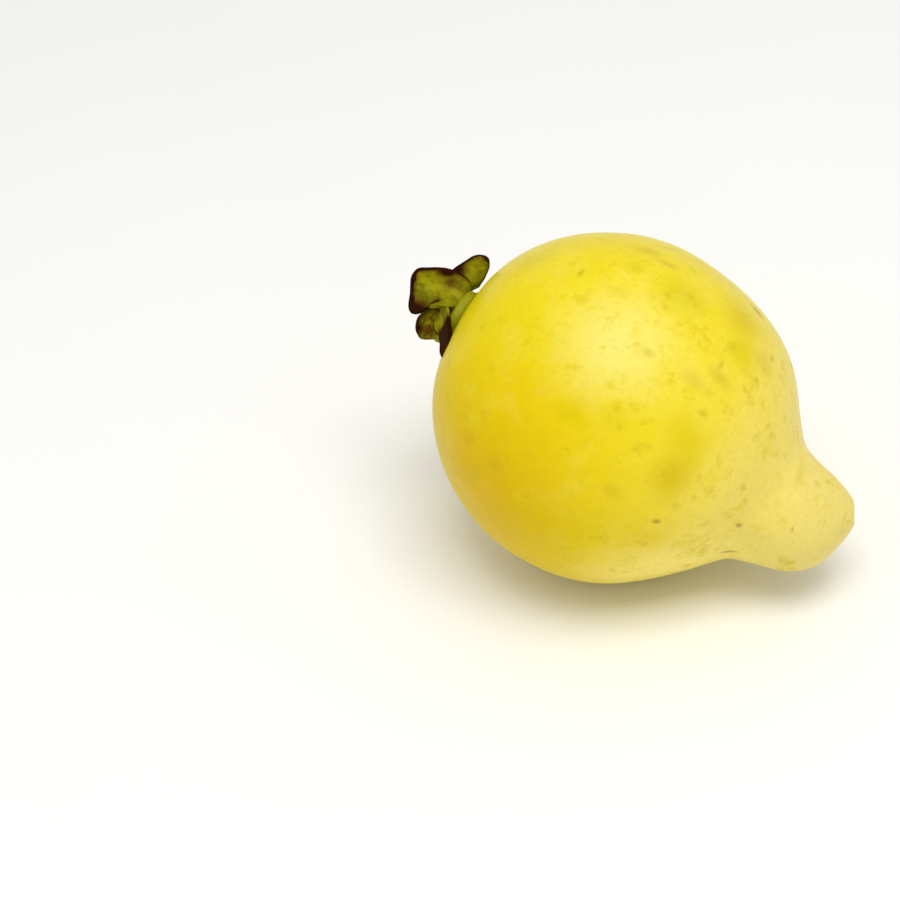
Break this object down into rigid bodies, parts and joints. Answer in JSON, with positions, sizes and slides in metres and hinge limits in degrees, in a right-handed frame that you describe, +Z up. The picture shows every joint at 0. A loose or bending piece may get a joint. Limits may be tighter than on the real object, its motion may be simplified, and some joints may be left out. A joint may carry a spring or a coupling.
{
  "type": "guava",
  "caption": "Whole ripe pear-shaped guava with a blunt stem-end neck and dried flower remains, resting on its side.",
  "frame": {"origin": "centre of the small flat spot under the belly that the fruit rests on", "axes": "+X from the flower end to the stem end as seen from above, +Z up, away from the surface it rests on"},
  "size_m": [0.101, 0.0762, 0.0756],
  "materials": {
    "skin": "satin waxy fruit skin, yellow with faint mottling, paler at the neck",
    "sepal": "leathery olive green with dried dark brown edges",
    "dried_flower": "dry, brittle, dark brown"
  },
  "bodies": {
    "root": {"fruit": "skin", "sepal_1": "sepal", "sepal_2": "sepal", "sepal_3": "sepal", "sepal_4": "sepal", "sepal_5": "sepal", "stamen_ring": "dried_flower", "style": "dried_flower"}
  },
  "joints": []
}
